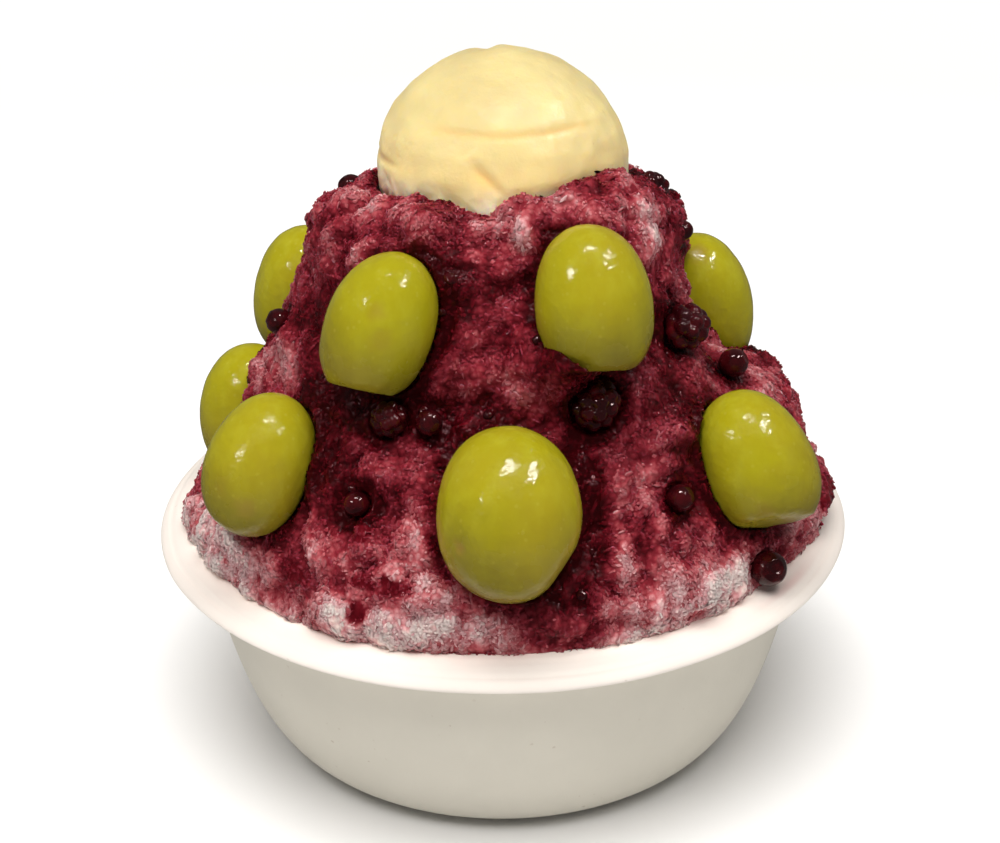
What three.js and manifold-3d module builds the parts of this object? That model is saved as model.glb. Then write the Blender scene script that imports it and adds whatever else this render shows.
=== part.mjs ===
// A shaved ice dessert: a heap of syrup-soaked ice in a moulded pulp bowl, with whole green
// grapes and dark berries pressed into its sides and a ball of vanilla ice cream on top.
// Millimetres, +Z up, origin at the middle of the bowl's foot. Bearings are degrees round the
// heap from its front, which faces -Y, positive towards +X. Heights on the heap count up from
// the bowl's rim.
import * as THREE from "three";
import { ImprovedNoise } from "three/addons/math/ImprovedNoise.js";
import { mergeVertices } from "three/addons/utils/BufferGeometryUtils.js";
import Module from "manifold-3d";

const wasm = await Module();
wasm.setup();
const { degToRad, lerp, clamp, seededRandom } = THREE.MathUtils;

// Bowl
const BOWL_HEIGHT = 50;
const RIM_RADIUS = 70.6; // outside of the lip
const LIP_INNER_RADIUS = 63.6;
const LIP_SKIRT = 3.7; // how far the lip's edge hangs below the rim
const LIP_SKIN = 1; // thickness of that edge
const LIP_DROP = 1.7; // the lip's top falls this far from its inner edge to its outer one
const LIP_GROOVE = 0.4; // narrow slopes inside the lip's two edges
const LIP_ROUND = 1.6; // width and half the depth of the bend at the outer edge
const LIP_NECK = 1; // how far under the lip's edge the side ends
const WALL_TOP_RADIUS = 62;
const FOOT_RADIUS = 37;
const WALL = 1.5;
const FLOOR = 1.6;
const BOWL_SIDES = 56;
const WALL_STEPS = 6;
// The side's curve: 1 over the first power rounds the foot, and the second steepens the top.
const SIDE_FOOT_POWER = 3.2;
const SIDE_TOP_POWER = 1.08;
const SIDE_CROWDING = 2.2; // over 1 sets the rows closer together towards the foot

// Heap of ice
const GAP = 0.3; // clearance between pieces that touch
const HEAP_LEAN = 1.2; // how far the top of the heap stands to +X
const HEAP_TOP = 71.5;
const HEAP_SIDES = 56;
const HEAP_ROWS = 21;
const FILL_ROWS = 3;
// The heap's outline, radius and height, from its foot inside the lip to its crown.
const HEAP_OUTLINE = [
  [62.4, 0],
  [63.2, 3],
  [62.6, 9],
  [58, 20],
  [49.6, 33],
  [43.4, 43],
  [39.4, 53],
  [36.4, 62],
  [30.5, 68],
  [18, 71],
  [0, HEAP_TOP],
];
// Broad swells and hollows: bearing, height, half-widths along both, and how far out it stands.
const SWELLS = [
  { bearing: -62, height: 60, across: 24, up: 8, out: 2.2 }, // left shoulder
  { bearing: -86, height: 64, across: 15, up: 5, out: 2.2 },
  { bearing: 48, height: 65, across: 26, up: 7, out: 2.4 }, // right shoulder
  { bearing: 0, height: 60, across: 13, up: 12, out: -3.4 }, // valley under the ice cream
  { bearing: 12.5, height: 48, across: 8, up: 4.8, out: 10.4 }, // crag between the upper grapes
  { bearing: -6, height: 40, across: 16, up: 3.5, out: -2.6 }, // recess over the front grape
  { bearing: 38, height: 33, across: 13, up: 8, out: 2.4 }, // right belly
  { bearing: 84, height: 22, across: 20, up: 8, out: 3.3 }, // bulge behind the right grape
  { bearing: -80, height: 36, across: 15, up: 8, out: -1.5 }, // between the left grapes
  { bearing: -80, height: 55, across: 17, up: 8, out: -1.3 },
  { bearing: 76, height: 2.2, across: 16, up: 3.4, out: 8.6 }, // spills on to the lip
  { bearing: -86, height: 2, across: 14, up: 3, out: 6.8 },
  { bearing: 84, height: 45, across: 23, up: 10, out: -7.6 }, // notch before the right side grape
  { bearing: -35, height: 69.5, across: 18, up: 4, out: 4 }, // ice banked up against the ball
  { bearing: 38, height: 69.5, across: 26, up: 4, out: 4 },
  { bearing: 6, height: 69.5, across: 9, up: 4, out: 5 },
  { bearing: -100, height: 69, across: 30, up: 4, out: -1.8 }, // lower crown on the left
  { bearing: 86, height: 67.5, across: 17, up: 5, out: -2 }, // and on the right
  { bearing: 92, height: 32, across: 13, up: 5, out: -2.2 },
  { bearing: -30, height: 12, across: 22, up: 7, out: 1.4 }, // left skirt
  { bearing: -98, height: 17, across: 24, up: 9, out: -8 }, // hollow of the far left grape
  { bearing: -114, height: 40, across: 20, up: 9, out: -3.5 }, // hollow of the side grapes
  { bearing: 113, height: 38, across: 20, up: 9, out: -3.5 },
  { bearing: -125, height: 68, across: 36, up: 6, out: -3 }, // crown falling away behind
  { bearing: 125, height: 68, across: 40, up: 6, out: -3 },
  { bearing: 150, height: 36, across: 18, up: 9, out: 2.4 },
  { bearing: -165, height: 52, across: 16, up: 8, out: 2.2 },
  { bearing: -140, height: 14, across: 24, up: 8, out: 1.6 },
  { bearing: 178, height: 36, across: 12, up: 6, out: -2.2 },
];
// Crags: wavelength and depth of each size of relief.
const CRAGS = [
  { length: 15, depth: 2.2 },
  { length: 8, depth: 1.5 },
];
const FOOT_CALM = 5; // crags fade out this far above the rim
const FOOT_SWELL = 0.6; // share of a swell that is left at the rim
const OUTLINE_SAMPLES = 300;

// Ball of ice cream
const BALL_RADIUS = 24.1;
const BALL_SQUASH = 0.88;
const BALL_CENTRE = new THREE.Vector3(1, 0, 72.6);
const BALL_SIDES = 30;
const BALL_ROWS = 14;
const BALL_SEAT = 13; // the ball is pressed flat this far below its centre
const BALL_SKIRT = { height: -7, width: 4, out: 0.4 };
const BALL_LEDGE = { height: 8.5, tilt: 14, drop: 0.55, width: 1.1 };
const BALL_DRIP = { bearing: -6, width: 10, out: 1.6, height: -8, up: 5 };
const BALL_LUMPS = { length: 9, depth: 0.5 };
// The skirt's raggedness: how many waves go round, how strong they are and where they start.
const SKIRT_WAVES = [
  { turns: 5, share: 0.5, start: 0 },
  { turns: 9, share: 0.4, start: 40 },
];

// Grapes: proud is how far the middle stands outside the heap, turn leans the grape in its own
// slope and lean is the share of the heap's slope that it lies back by. The stem end is sliced
// off at a share of the half-length, cut, at a slant.
const GRAPES = {
  grape_upper_left: { bearing: -31, height: 52, width: 20, length: 29.4, turn: 13, cut: 0.78, slant: 10 },
  grape_upper_right: { bearing: 22, height: 56.8, width: 21, length: 29.6, turn: -3, cut: 0.76, slant: -9 },
  grape_side_left: { bearing: -113.5, height: 38.9, width: 21, length: 29.8, lean: 0.3, proud: -1 },
  grape_side_right: { bearing: 112, height: 36.4, width: 21, length: 31.6, lean: 0.32, proud: -2.9 },
  grape_far_left: { bearing: -98.5, height: 19.4, width: 20.6, length: 29.4, lean: 0.3, proud: -6 },
  grape_low_left: { bearing: -50.5, height: 24.2, width: 19.8, length: 28.2, turn: -6, proud: 4 },
  grape_front: { bearing: 0.8, height: 24.2, width: 26, length: 32.2, turn: -2, proud: 3.4 },
  grape_low_right: { bearing: 52.6, height: 22.4, width: 21, length: 29.6, cut: 0.8, slant: -24, proud: 3.6 },
  grape_back_right: { bearing: 146, height: 22, width: 22, length: 29, turn: 7 },
  grape_back_left: { bearing: -152, height: 25, width: 21.2, length: 29, turn: -6, cut: 0.78, slant: 8 },
  grape_upper_back: { bearing: 172, height: 52, width: 21, length: 29.5, turn: 5 },
};
const GRAPE_PROUD = 4.4;
const GRAPE_DETAIL = 2;
const GRAPE_TAPER = 0.08; // how much narrower the tip is than the stem end
const GRAPE_BLUNT = 2.6; // over 2 is blunter than an ellipsoid

// Dark berries: brambles are clusters of beads and currants are smooth and round.
const BRAMBLES = {
  bramble_right: { bearing: 55, height: 47, width: 9.4, proud: 0.2 },
  bramble_front_right: { bearing: 21.5, height: 39.6, width: 9.2, proud: 0.5 },
  bramble_front_left: { bearing: -26.3, height: 37.2, width: 7.4, proud: 0.5 },
  bramble_top_right: { bearing: 103, height: 66.8, width: 8, proud: -4.2 },
  bramble_back: { bearing: -142, height: 48, width: 9.4, proud: 1.2 },
};
const BRAMBLE_LENGTH = 1.18; // of its width
const BEADS = { count: 18, size: 0.62, depth: 0.24, detail: 3 };
const CURRANTS = {
  currant_right: { bearing: 68.5, height: 36.4, width: 5.8, proud: 0.2 },
  currant_rim: { bearing: 50.5, height: 4.6, width: 7, proud: 1.6 },
  currant_low_right: { bearing: 34.6, height: 22.6, width: 5.2, proud: 0.2 },
  currant_front_left: { bearing: -17, height: 37.7, width: 5, proud: 0 },
  currant_side_left: { bearing: -79, height: 42.4, width: 5.4, proud: 1 },
  currant_shoulder: { bearing: 77, height: 61, width: 4, proud: -1.6 },
  currant_crown_left: { bearing: -104, height: 66.8, width: 5.4, proud: -2.6 },
  currant_low_left: { bearing: -28.8, height: 23.7, width: 5, proud: 0 },
  currant_back_right: { bearing: 140, height: 46, width: 7, proud: 1 },
  currant_back_low: { bearing: 176, height: 16, width: 7.2, proud: 1.2 },
};
const ROUND_DETAIL = 1;
const BERRY_GAP = 0.45;
const LAY_SEEDS = { brambles: 10, currants: 40 }; // for the chance angles that they lie at

const PULP = new THREE.MeshStandardMaterial({ color: 0xe9e2d6, roughness: 0.75, metalness: 0 });
const STAINED_ICE = new THREE.MeshStandardMaterial({ color: 0x8e3a45, roughness: 0.45, metalness: 0 });
const VANILLA = new THREE.MeshStandardMaterial({ color: 0xf7e7a4, roughness: 0.5, metalness: 0 });
const GRAPE_SKIN = new THREE.MeshStandardMaterial({ color: 0xa89c2c, roughness: 0.25, metalness: 0 });
const BERRY_SKIN = new THREE.MeshStandardMaterial({ color: 0x3a1013, roughness: 0.2, metalness: 0 });

const noise = new ImprovedNoise();
const NOISE_SEED = 4.7; // where the relief is read in the noise's third direction

// A smooth bell, 1 at the middle and nearly 0 two widths away.
function bell(distance, width) {
  return Math.exp(-((distance / width) ** 2));
}

// The smallest turn between two bearings, in degrees.
function turnBetween(a, b) {
  return ((a - b + 540) % 360) - 180;
}

function bearingOf(x, y) {
  return THREE.MathUtils.radToDeg(Math.atan2(x, -y));
}

// A geometry with its position alone and its shared vertices merged.
function welded(geometry) {
  const bare = geometry.clone();
  bare.deleteAttribute("normal");
  bare.deleteAttribute("uv");
  return mergeVertices(bare, 1e-4);
}

// Moves every vertex of a geometry by a function that changes the point it is given.
function reshape(geometry, change) {
  const position = geometry.attributes.position;
  const point = new THREE.Vector3();
  for (let i = 0; i < position.count; i++) {
    change(point.fromBufferAttribute(position, i));
    position.setXYZ(i, point.x, point.y, point.z);
  }
  return geometry;
}

function solidFrom(geometry) {
  const closed = welded(geometry);
  return new wasm.Manifold(
    new wasm.Mesh({
      numProp: 3,
      vertProperties: closed.attributes.position.array,
      triVerts: new Uint32Array(closed.index.array),
    }),
  );
}

function geometryFrom(solid) {
  const { vertProperties, triVerts } = solid.getMesh();
  return new THREE.BufferGeometry()
    .setAttribute("position", new THREE.BufferAttribute(vertProperties, 3))
    .setIndex(new THREE.BufferAttribute(triVerts, 1));
}

function namedMesh(name, geometry, material) {
  const mesh = new THREE.Mesh(geometry, material);
  mesh.name = name;
  return mesh;
}

// The bowl's side: flat at the foot, sweeping out at once and then rising steeply.
// share runs from 0 at the foot to 1 under the lip.
function sideRadius(share, foot, top) {
  const sweep = (1 - (1 - share) ** SIDE_TOP_POWER) ** (1 / SIDE_FOOT_POWER);
  return lerp(foot, top, sweep);
}

// Points up a side between two heights, closer together at the rounded foot.
function sidePoints(foot, top, low, high) {
  return Array.from({ length: WALL_STEPS + 1 }, (_, i) => {
    const share = (i / WALL_STEPS) ** SIDE_CROWDING;
    return new THREE.Vector2(sideRadius(share, foot, top), lerp(low, high, share));
  });
}

function bowlInside(clearance) {
  return sidePoints(
    FOOT_RADIUS - WALL - clearance,
    WALL_TOP_RADIUS - WALL - clearance,
    FLOOR + clearance,
    BOWL_HEIGHT - LIP_SKIRT,
  );
}

function bowlGeometry() {
  const skirtFoot = BOWL_HEIGHT - LIP_SKIRT;
  const underside = BOWL_HEIGHT - LIP_DROP - WALL;
  const lip = [
    [LIP_INNER_RADIUS, underside],
    [RIM_RADIUS - LIP_SKIN - LIP_GROOVE, underside],
    [RIM_RADIUS - LIP_SKIN, skirtFoot],
    [RIM_RADIUS, skirtFoot],
    [RIM_RADIUS, BOWL_HEIGHT - LIP_DROP - LIP_ROUND / 2],
    [RIM_RADIUS - LIP_ROUND, BOWL_HEIGHT - LIP_DROP],
    [LIP_INNER_RADIUS, BOWL_HEIGHT],
    [LIP_INNER_RADIUS - LIP_GROOVE, BOWL_HEIGHT - LIP_SKIN],
  ].map(([radius, height]) => new THREE.Vector2(radius, height));
  const profile = [
    new THREE.Vector2(0, 0),
    ...sidePoints(FOOT_RADIUS, WALL_TOP_RADIUS, 0, skirtFoot - LIP_NECK),
    ...lip,
    ...bowlInside(0).reverse(),
    new THREE.Vector2(0, FLOOR),
  ];
  return new THREE.LatheGeometry(profile, BOWL_SIDES);
}

const heapCurve = new THREE.SplineCurve(
  HEAP_OUTLINE.map(([radius, height]) => new THREE.Vector2(radius, height)),
);

// The heap's radius at a height above the rim, and its lean outwards there.
function heapAt(height) {
  const points = heapCurve.getSpacedPoints(OUTLINE_SAMPLES);
  const above = points.findIndex((p) => p.y >= height);
  const i = clamp(above, 1, points.length - 2);
  const [low, high] = [points[i - 1], points[i + 1]];
  return {
    radius: points[i].x,
    slope: Math.atan2(low.x - high.x, high.y - low.y), // from upright, leaning in
  };
}

// How far the heap's surface stands out from its outline at a place.
function relief(point, bearing, height) {
  const swell = SWELLS.reduce((sum, s) => {
    const across = turnBetween(bearing, s.bearing);
    return sum + s.out * bell(across, s.across) * bell(height - s.height, s.up);
  }, 0);
  const crag = CRAGS.reduce((sum, { length, depth }) => {
    const at = point.clone().divideScalar(length);
    return sum + depth * noise.noise(at.x, at.y, at.z + NOISE_SEED);
  }, 0);
  const calm = clamp(height / FOOT_CALM, 0, 1);
  return (swell + crag) * calm + swell * (1 - calm) * (height > 0 ? FOOT_SWELL : 0);
}

function heapGeometry() {
  const top = heapCurve.getSpacedPoints(HEAP_ROWS);
  const inside = new THREE.SplineCurve(bowlInside(GAP)).getSpacedPoints(FILL_ROWS);
  const profile = [
    new THREE.Vector2(0, FLOOR + GAP),
    ...inside,
    ...top.map((p) => new THREE.Vector2(p.x, p.y + BOWL_HEIGHT)),
  ];
  const smooth = welded(new THREE.LatheGeometry(profile, HEAP_SIDES)).rotateX(Math.PI / 2);
  return reshape(smooth, (point) => {
    const height = point.z - BOWL_HEIGHT;
    const radius = Math.hypot(point.x, point.y);
    if (height > 0 && radius > 0) {
      const { slope } = heapAt(height);
      const out = relief(point, bearingOf(point.x, point.y), height);
      const stretch = 1 + (out * Math.cos(slope)) / radius;
      point.x = point.x * stretch + HEAP_LEAN * (height / HEAP_TOP);
      point.y *= stretch;
      point.z += out * Math.sin(slope);
    }
  });
}

// The ball of ice cream: a pressed ball with a ragged skirt, the ledge that the scoop leaves
// and one drip at the front.
function ballGeometry() {
  const ball = new THREE.SphereGeometry(BALL_RADIUS, BALL_SIDES, BALL_ROWS);
  ball.rotateX(Math.PI / 2);
  const ledgeTilt = degToRad(BALL_LEDGE.tilt);
  return reshape(welded(ball), (point) => {
    const bearing = bearingOf(point.x, point.y);
    const height = point.z;
    const ragged = SKIRT_WAVES.reduce(
      (sum, { turns, share, start }) => sum + share * Math.sin(degToRad(bearing * turns + start)),
      1,
    );
    const skirt = BALL_SKIRT.out * ragged * bell(height - BALL_SKIRT.height, BALL_SKIRT.width);
    const along = height * Math.cos(ledgeTilt) - point.y * Math.sin(ledgeTilt);
    const ledge = BALL_LEDGE.drop * bell(along - BALL_LEDGE.height, BALL_LEDGE.width);
    const drip =
      BALL_DRIP.out *
      bell(turnBetween(bearing, BALL_DRIP.bearing), BALL_DRIP.width) *
      bell(height - BALL_DRIP.height, BALL_DRIP.up);
    const at = point.clone().divideScalar(BALL_LUMPS.length);
    const lump = BALL_LUMPS.depth * noise.noise(at.x, at.y, at.z);
    point.multiplyScalar(1 + (skirt + drip + lump - ledge) / BALL_RADIUS);
    point.z = Math.max(point.z * BALL_SQUASH, -BALL_SEAT);
  });
}

// A grape standing on its stem end, a little narrower at its tip, with that end sliced flat.
function grapeGeometry({ width, length, cut = 1, slant = 0 }, inflate = 0) {
  const grape = welded(new THREE.IcosahedronGeometry(1, GRAPE_DETAIL));
  const [halfWidth, halfLength] = [width / 2 + inflate, length / 2 + inflate];
  return reshape(grape, (point) => {
    const ring = Math.hypot(point.x, point.y) || 1;
    const blunt = (1 - Math.abs(point.z) ** GRAPE_BLUNT) ** (1 / 2) / ring;
    const girth = halfWidth * blunt * (1 - GRAPE_TAPER * Math.max(0, point.z));
    point.x *= girth;
    point.y *= girth;
    const slice = -cut * (length / 2) - inflate + point.x * Math.tan(degToRad(slant));
    point.z = Math.max(point.z * halfLength, slice);
  });
}

// Directions spread evenly over a ball, for a bramble's beads.
function spreadDirections(count) {
  const goldenTurn = Math.PI * (3 - Math.sqrt(5));
  return Array.from({ length: count }, (_, i) => {
    const z = 1 - (2 * (i + 0.5)) / count;
    const ring = Math.sqrt(1 - z * z);
    return new THREE.Vector3(ring * Math.cos(i * goldenTurn), ring * Math.sin(i * goldenTurn), z);
  });
}

function brambleGeometry(width) {
  const beads = spreadDirections(BEADS.count);
  const berry = welded(new THREE.IcosahedronGeometry(1, BEADS.detail));
  return reshape(berry, (point) => {
    const nearest = Math.min(...beads.map((bead) => bead.angleTo(point)));
    const dome = Math.sqrt(Math.max(0, 1 - (nearest / BEADS.size) ** 2));
    point.multiplyScalar((width / 2) * (1 - BEADS.depth * (1 - dome)));
  });
}

function roundGeometry(width) {
  return welded(new THREE.IcosahedronGeometry(width / 2, ROUND_DETAIL));
}

// Where a topping sits: out from the heap along its slope, its own +Z lying up the slope.
function placeOnHeap(object, { bearing, height, proud = GRAPE_PROUD, turn = 0, lean = 1 }) {
  const { radius, slope } = heapAt(height);
  const angle = degToRad(bearing);
  const out = radius + proud * Math.cos(slope);
  object.position.set(
    out * Math.sin(angle) + HEAP_LEAN * (height / HEAP_TOP),
    -out * Math.cos(angle),
    BOWL_HEIGHT + height + proud * Math.sin(slope),
  );
  object.rotation.set(-slope * lean, degToRad(turn), angle, "ZXY");
  object.updateMatrix();
}

// A topping's mesh, and the solid of the socket that it presses into the ice.
function topping(name, spec, geometry, socketGeometry, material) {
  const mesh = namedMesh(name, geometry, material);
  placeOnHeap(mesh, spec);
  return { mesh, socket: solidFrom(socketGeometry.applyMatrix4(mesh.matrix)) };
}

// A table's berries, each stretched to its length and lying at its own chance angle.
function berriesFrom(table, makeGeometry, length, seed) {
  return Object.entries(table).map(([name, spec], i) => {
    const tilt = seededRandom(seed + 2 * i) * Math.PI;
    const spin = seededRandom(seed + 2 * i + 1) * Math.PI;
    const lay = (geometry) => geometry.scale(1, 1, length).rotateX(tilt).rotateZ(spin);
    const socket = lay(roundGeometry(spec.width + 2 * BERRY_GAP));
    return topping(name, spec, lay(makeGeometry(spec.width)), socket, BERRY_SKIN);
  });
}

const grapes = Object.entries(GRAPES).map(([name, spec]) =>
  topping(name, spec, grapeGeometry(spec), grapeGeometry(spec, GAP), GRAPE_SKIN),
);
const berries = [
  ...berriesFrom(BRAMBLES, brambleGeometry, BRAMBLE_LENGTH, LAY_SEEDS.brambles),
  ...berriesFrom(CURRANTS, roundGeometry, 1, LAY_SEEDS.currants),
];

const iceCream = namedMesh("ice_cream", ballGeometry(), VANILLA);
iceCream.position.copy(BALL_CENTRE).setZ(BOWL_HEIGHT + BALL_CENTRE.z);
iceCream.updateMatrix();
const ballScale = 1 + GAP / BALL_SEAT;
const ballSocket = solidFrom(
  ballGeometry().scale(ballScale, ballScale, ballScale).applyMatrix4(iceCream.matrix),
);

// The heap with a socket for everything that is pressed into it.
const sockets = [...grapes, ...berries].map(({ socket }) => socket);
const heap = [ballSocket, ...sockets].reduce(
  (ice, socket) => ice.subtract(socket),
  solidFrom(heapGeometry()),
);
const [wholeHeap] = heap.decompose().sort((a, b) => b.volume() - a.volume());

const toppings = new THREE.Group();
toppings.add(iceCream, ...grapes.map(({ mesh }) => mesh), ...berries.map(({ mesh }) => mesh));

const dessert = new THREE.Group();
dessert.add(
  namedMesh("bowl", bowlGeometry().rotateX(Math.PI / 2), PULP),
  namedMesh("shaved_ice", geometryFrom(wholeHeap), STAINED_ICE),
  toppings,
);

export default dessert;
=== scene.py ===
"""Dresses a shaved ice dessert: a pulp bowl, a heap of syrup-stained ice with loose shavings on
it, grapes, dark berries, compote and a ball of vanilla ice cream, on a pale studio floor.

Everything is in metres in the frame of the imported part. Places on the heap are given by a bearing,
in degrees round the heap from its front (-Y) towards +X, and a height in millimetres above the
bowl's rim."""

import math

import bmesh
import bpy
import numpy as np
from mathutils import Matrix, Vector, noise
from mathutils.kdtree import KDTree


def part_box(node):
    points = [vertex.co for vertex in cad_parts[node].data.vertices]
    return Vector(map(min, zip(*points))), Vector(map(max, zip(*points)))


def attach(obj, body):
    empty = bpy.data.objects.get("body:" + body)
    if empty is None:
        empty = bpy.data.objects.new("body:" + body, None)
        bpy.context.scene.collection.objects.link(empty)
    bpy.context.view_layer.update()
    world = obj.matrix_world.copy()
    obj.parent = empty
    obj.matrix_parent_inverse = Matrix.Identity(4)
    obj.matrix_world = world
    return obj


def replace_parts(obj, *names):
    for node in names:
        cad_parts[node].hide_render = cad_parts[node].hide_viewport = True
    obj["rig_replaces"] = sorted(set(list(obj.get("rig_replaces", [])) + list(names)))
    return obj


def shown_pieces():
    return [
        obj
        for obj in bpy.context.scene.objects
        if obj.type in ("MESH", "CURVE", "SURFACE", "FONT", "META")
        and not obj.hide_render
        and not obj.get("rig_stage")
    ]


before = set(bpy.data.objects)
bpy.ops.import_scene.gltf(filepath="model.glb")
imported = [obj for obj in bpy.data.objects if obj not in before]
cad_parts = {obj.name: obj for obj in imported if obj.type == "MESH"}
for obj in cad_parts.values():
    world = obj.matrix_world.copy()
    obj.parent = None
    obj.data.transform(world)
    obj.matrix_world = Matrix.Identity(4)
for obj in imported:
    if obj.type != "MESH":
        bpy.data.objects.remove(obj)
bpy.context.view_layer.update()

bl_info = {
    "name": "Shaved ice dessert",
    "version": (1, 0, 0),
    "blender": (4, 5, 0),
    "location": "3D View > Sidebar > Dessert",
    "description": "Dresses a shaved ice dessert piece by piece",
    "category": "Object",
}

MM = 0.001
WELD = 0.002 * MM  # points closer than this are joined
RIM_RADIUS, _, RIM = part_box("bowl")[1]  # radius and height of the bowl's rim
GRAPES, BRAMBLES, CURRANTS = (
    sorted(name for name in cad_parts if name.startswith(kind))
    for kind in ("grape", "bramble", "currant")
)
TOPPINGS = [*GRAPES, *BRAMBLES, *CURRANTS, "ice_cream"]

# Syrup in the ice: bearing and height of each patch, half-widths along both, and how much more
# syrup it holds than the ice round it. Dark patches beside the grapes are partly painted shade.
SYRUP_AND_SHADE_PATCHES = [
    # dark and wet; those beside the grapes are partly painted shade
    (-19, 63, 9, 5, 0.3), (-14, 55.7, 7, 6, 0.28), (-34, 38.5, 14, 4, 0.42),
    (-56.5, 48, 6, 9, 0.38), (-48, 37, 6, 5, 0.22), (-36, 27.5, 6, 8, 0.28),
    (-29.7, 22, 5, 3.5, 0.32), (-20, 26.5, 4, 2.5, 0.22), (-38.5, 9.4, 4.5, 3, 0.45),
    (-13, 35.5, 8, 3.5, 0.32), (17, 27, 5, 12, 0.3), (16.5, 26, 2.2, 10, 0.22),
    (11.5, 13, 3, 5, 0.2), (7, 7, 6, 6, 0.45), (-13, 27, 4, 8, 0.16), (-68, 46.5, 5, 4, 0.34),
    (2.5, 50, 3, 3, 0.22), (-4.5, 46, 3, 3, 0.12), (-40, 3, 6, 3, 0.22), (-45, 69, 4, 2, 0.14),
    (35, 68, 4, 3, 0.2), (33, 8, 3, 4, 0.16), (46.7, 50.4, 6, 7, 0.32), (24.6, 39, 8, 4, 0.24),
    (-2, 39.5, 6, 3, 0.34), (42.6, 26, 5, 10, 0.3), (50.4, 12, 12, 3, 0.32),
    (71, 36, 8, 6, 0.24), (10.5, 57, 5, 6, 0.15),
    # pale and dry
    (-74, 69.3, 8, 3, -0.1), (-55, 70, 5, 3, -0.22), (-44, 62.5, 4, 2.5, -0.2),
    (-66, 39.5, 8, 6, -0.28), (-16, 53.7, 3, 3, -0.15), (-5.8, 50.8, 5, 3.5, -0.22),
    (2.3, 44.3, 4, 4, -0.28), (50, 66, 10, 6, -0.42), (54, 73, 7, 4, -0.22),
    (26, 72, 7, 5, -0.36), (2, 71, 4, 3, -0.18), (-8, 70, 4, 3, -0.24), (10, 71, 4, 3, -0.14),
    (-8, 41.5, 6, 3, -0.24), (-16, 32.7, 2.5, 3, -0.16), (31, 39.6, 3.5, 3.5, -0.16),
    (8, 67, 5, 3, -0.25), (74, 33, 12, 6, -0.38), (27, 26.4, 8, 3.5, -0.2),
    (28.7, 10.3, 9, 5, -0.05), (43, 7.5, 8, 5, -0.38), (45, 3, 5, 2.5, -0.14),
    (27, 9, 3, 4, -0.24), (31, 3, 4, 2.5, -0.14), (20.5, 1, 6, 2.5, -0.28), (-22, 2, 4, 2, -0.14),
    (31, 23, 4, 5, -0.18), (21.5, 24.5, 2.5, 5, -0.14), (-8, 13.5, 3, 3, -0.2),
    (-17, 13.5, 3, 2.5, -0.12), (-50, 9, 5, 4, -0.28), (-86, 34, 8, 6, -0.46),
    (-60, 37, 4, 4, -0.14), (35, 34, 6, 4, -0.06), (26, 5, 14, 4, -0.22),
    (-16.3, 5.5, 14, 5, -0.53), (-64, 5.5, 18, 6, -0.33), (-32, 15.5, 6, 3, -0.15),
    (-16.6, 22, 4, 6, -0.28),
]
# Smooth pools of syrup with no loose ice on them: bearing, height and half-widths.
SYRUP_POOLS = [
    (-20.7, 12.4, 6, 1.8), (-24.6, 6.6, 1.6, 2.1), (-25.6, 19.6, 2.2, 1.8),
    (-38.6, 9.2, 2.2, 2.6), (78, 5, 7, 5), (150, 30, 8, 4), (-165, 12, 9, 3),
]
POOL_STAIN = 0.74  # how much syrup the ice under a pool holds
BACK_PATCHES = 34  # patches drawn by chance on the back
BACK_SEED = 5

# Drifts of ice: bearing, height, half-widths, and how far each is pushed in X, Y and Z, in
# millimetres.
DRIFTS = [
    (12, 49.8, 6.6, 4.2, (3.6, -4.5, 1.5)),  # over the foot of the upper right grape
    (-24, 44, 6, 3, (0.3, -0.8, 0)),  # against the grapes
    (-50, 9.5, 12, 3, (0.8, -0.9, 0)),
    (-24, 71, 5, 4, (0, -0.3, 0.8)),  # left of the ball's drip
    (74, 0.6, 9, 2.2, (1.6, -1.6, -0.3)),  # spilling over the lip
    (-84, 0.6, 11, 2.2, (-2.2, 0, -0.4)),
]

# How much lighter the grapes at the sides are: their skins start further along from the low end's
# colour.
SIDE_GRAPES_LIGHTER = {"grape_side_left": 0.12, "grape_side_right": 0.18}
GRAPE_SEED, BRAMBLE_SEED, CURRANT_SEED = 30, 70, 90
LOOSE_ICE_SEED, COMPOTE_SEED = 500, 900

# Marks on the grapes' skins: a point on the skin in millimetres, the mark's radius, and how
# brown and how sunken it is.
GRAPE_MARKS = {
    "grape_upper_left": [((-21.5, -45.5, 110), 1.8, 0.4, 0.15), ((-21, -47, 105), 2.8, 0.25, 0.05)],
    "grape_side_right": [((40.1, 10.6, 99.2), 2.8, 0.7, 0.12)],
    "grape_front": [((-7.4, -68.6, 75.2), 1.4, 0.8, 0.2), ((12.2, -64.5, 67.5), 8.5, 0, 1.8)],
    "grape_low_left": [((-46.8, -48.4, 72.6), 2.4, 0.4, 0.05), ((-50, -45, 76), 1.8, 0.3, 0.05)],
    "grape_low_right": [((48.1, -46.7, 69.6), 2.4, 0.3, 0.05)],
    "grape_far_left": [((-68, -6, 66), 2, 0.4, 0.1)],
    "grape_upper_back": [((8, 46, 108), 2.2, 0.5, 0.2)],
    "grape_back_left": [((-34, 56, 76), 2, 0.5, 0.1)],
}


# ---- meshes


def bmesh_of(mesh):
    bm = bmesh.new()
    bm.from_mesh(mesh)
    return bm


def merged_copy(node):
    """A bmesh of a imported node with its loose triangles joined."""
    bm = bmesh_of(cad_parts[node].data)
    bmesh.ops.remove_doubles(bm, verts=bm.verts, dist=WELD)
    return bm


def mesh_from(bm, name="draft"):
    mesh = bpy.data.meshes.new(name)
    bm.to_mesh(mesh)
    bm.free()
    return mesh


def put_in_scene(name, data):
    """A new object that holds a mesh, a lamp or a camera."""
    made = bpy.data.objects.new(name, data)
    bpy.context.scene.collection.objects.link(made)
    return made


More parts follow.
